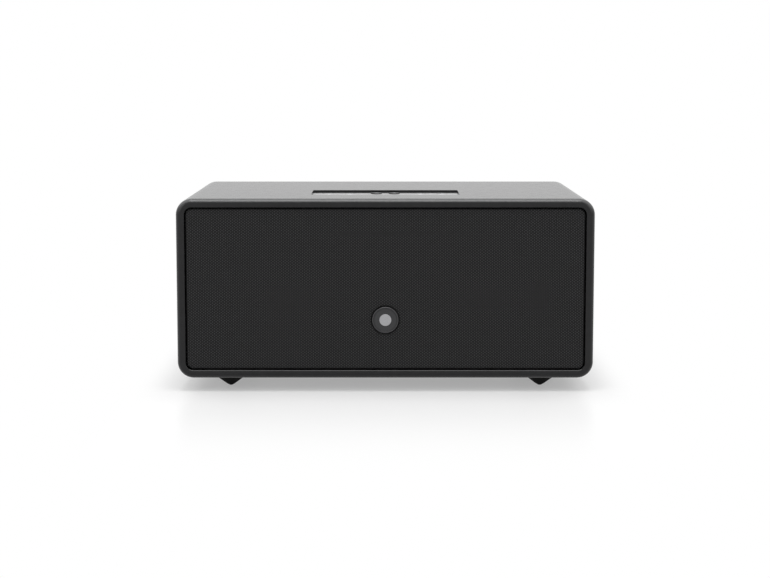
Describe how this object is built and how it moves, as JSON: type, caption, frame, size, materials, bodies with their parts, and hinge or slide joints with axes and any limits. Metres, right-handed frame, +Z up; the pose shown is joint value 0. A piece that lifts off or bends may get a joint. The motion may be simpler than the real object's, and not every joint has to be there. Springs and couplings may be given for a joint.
{
  "type": "wireless speaker",
  "caption": "One-piece home wireless speaker: a wide black cabinet on cone feet with a cloth grille, control keys in the top, a reflex port and a socket panel at the back.",
  "frame": {"origin": "on the floor under the middle of the cabinet's width and depth", "axes": "+Z up, -Y out of the front (grille) face, +X to the right seen from the front"},
  "size_m": [0.38, 0.19, 0.177],
  "materials": {
    "cabinet_wrap": "board wrapped in satin black vinyl",
    "black_board": "black painted board",
    "black_plastic": "fine moulded texture",
    "grille_cloth": "woven acoustic cloth, charcoal black",
    "badge_metal": "dark satin metal",
    "badge_inlay": "plain satin disc",
    "deck_metal": "satin black",
    "key_plastic": "satin black with light symbols",
    "rubber": "matt black",
    "circuit_board": "green solder mask",
    "screw_steel": "black oxide steel",
    "basket_steel": "black powder coat on pressed steel",
    "paper": "pressed black paper pulp",
    "spider_cloth": "resin-stiffened amber cloth",
    "coil": "copper winding on an aluminium former",
    "motor_steel": "zinc-plated steel",
    "ferrite": "dark grey ferrite",
    "dome_cloth": "coated black fabric",
    "foam": "closed-cell foam",
    "ferrite_winding": "ferrite core with yellow winding tape",
    "capacitor_sleeve": "aluminium can with dark sleeve",
    "heatsink_metal": "black anodised",
    "shield_can": "tinned steel can",
    "jack_metal": "nickel-plated barrel",
    "wadding": "white polyester fibre",
    "lead_cover": "PVC insulation"
  },
  "bodies": {
    "speaker": {"cabinet_sleeve": "cabinet_wrap", "front_baffle": "black_board", "rear_board": "black_board", "grille_sockets": "black_plastic", "deck_plate": "deck_metal", "control_board": "circuit_board", "key_switches": "black_plastic", "woofer_basket": "basket_steel", "woofer_gasket": "foam", "woofer_surround": "rubber", "woofer_spider": "spider_cloth", "woofer_top_plate": "motor_steel", "woofer_magnet": "ferrite", "woofer_yoke": "motor_steel", "woofer_terminals": "black_plastic", "woofer_screws": "screw_steel", "tweeter_screws": "screw_steel", "tweeter_plate_left": "black_plastic", "tweeter_plate_right": "black_plastic", "tweeter_motor_left": "motor_steel", "tweeter_motor_right": "motor_steel", "port_tube": "black_plastic", "amp_panel": "black_plastic", "panel_seal": "foam", "panel_screws": "screw_steel", "board_screws": "screw_steel", "amp_board": "circuit_board", "power_transformer": "ferrite_winding", "amp_capacitors": "capacitor_sleeve", "heatsink": "heatsink_metal", "wireless_module": "shield_can", "mains_inlet": "black_plastic", "phono_sockets": "jack_metal", "usb_socket": "black_plastic", "network_socket": "black_plastic", "damping_wadding": "wadding", "speaker_leads": "lead_cover", "foot_front_left": "rubber", "foot_front_right": "rubber", "foot_rear_left": "rubber", "foot_rear_right": "rubber"},
    "grille": {"grille_frame": "black_plastic", "grille_cloth": "grille_cloth", "badge_disc": "badge_metal", "badge_inlay": "badge_inlay"},
    "woofer_moving": {"woofer_cone": "paper", "woofer_dust_cap": "dome_cloth", "woofer_voice_coil": "coil"},
    "tweeter_left_moving": {"tweeter_dome_left": "dome_cloth"},
    "tweeter_right_moving": {"tweeter_dome_right": "dome_cloth"},
    "key_power_button": {"key_power": "key_plastic"},
    "key_source_button": {"key_source": "key_plastic"},
    "key_volume_down_button": {"key_volume_down": "key_plastic"},
    "key_volume_up_button": {"key_volume_up": "key_plastic"},
    "key_play_pause_button": {"key_play_pause": "key_plastic"},
    "key_next_track_button": {"key_next_track": "key_plastic"},
    "key_preset_1_button": {"key_preset_1": "key_plastic"},
    "key_preset_2_button": {"key_preset_2": "key_plastic"},
    "key_preset_3_button": {"key_preset_3": "key_plastic"},
    "key_preset_4_button": {"key_preset_4": "key_plastic"}
  },
  "joints": [
    {"name": "grille_pull", "type": "slide", "parent": "speaker", "child": "grille", "axis": [0, -1, 0], "range_m": [0, 0.03]},
    {"name": "woofer_stroke", "type": "slide", "parent": "speaker", "child": "woofer_moving", "axis": [0, -1, 0], "range_m": [-0.004, 0.004], "stiffness_N_per_m": 1000, "deforming": ["woofer_surround", "woofer_spider"]},
    {"name": "tweeter_left_stroke", "type": "slide", "parent": "speaker", "child": "tweeter_left_moving", "axis": [0, -1, 0], "range_m": [-0.0003, 0.0003], "stiffness_N_per_m": 4000},
    {"name": "tweeter_right_stroke", "type": "slide", "parent": "speaker", "child": "tweeter_right_moving", "axis": [0, -1, 0], "range_m": [-0.0003, 0.0003], "stiffness_N_per_m": 4000},
    {"name": "power_press", "type": "slide", "parent": "speaker", "child": "key_power_button", "axis": [0, 0, -1], "range_m": [0, 0.0006], "stiffness_N_per_m": 3000},
    {"name": "source_press", "type": "slide", "parent": "speaker", "child": "key_source_button", "axis": [0, 0, -1], "range_m": [0, 0.0006], "stiffness_N_per_m": 3000},
    {"name": "volume_down_press", "type": "slide", "parent": "speaker", "child": "key_volume_down_button", "axis": [0, 0, -1], "range_m": [0, 0.0006], "stiffness_N_per_m": 3000},
    {"name": "volume_up_press", "type": "slide", "parent": "speaker", "child": "key_volume_up_button", "axis": [0, 0, -1], "range_m": [0, 0.0006], "stiffness_N_per_m": 3000},
    {"name": "play_pause_press", "type": "slide", "parent": "speaker", "child": "key_play_pause_button", "axis": [0, 0, -1], "range_m": [0, 0.0006], "stiffness_N_per_m": 3000},
    {"name": "next_track_press", "type": "slide", "parent": "speaker", "child": "key_next_track_button", "axis": [0, 0, -1], "range_m": [0, 0.0006], "stiffness_N_per_m": 3000},
    {"name": "preset_1_press", "type": "slide", "parent": "speaker", "child": "key_preset_1_button", "axis": [0, 0, -1], "range_m": [0, 0.0006], "stiffness_N_per_m": 3000},
    {"name": "preset_2_press", "type": "slide", "parent": "speaker", "child": "key_preset_2_button", "axis": [0, 0, -1], "range_m": [0, 0.0006], "stiffness_N_per_m": 3000},
    {"name": "preset_3_press", "type": "slide", "parent": "speaker", "child": "key_preset_3_button", "axis": [0, 0, -1], "range_m": [0, 0.0006], "stiffness_N_per_m": 3000},
    {"name": "preset_4_press", "type": "slide", "parent": "speaker", "child": "key_preset_4_button", "axis": [0, 0, -1], "range_m": [0, 0.0006], "stiffness_N_per_m": 3000}
  ]
}
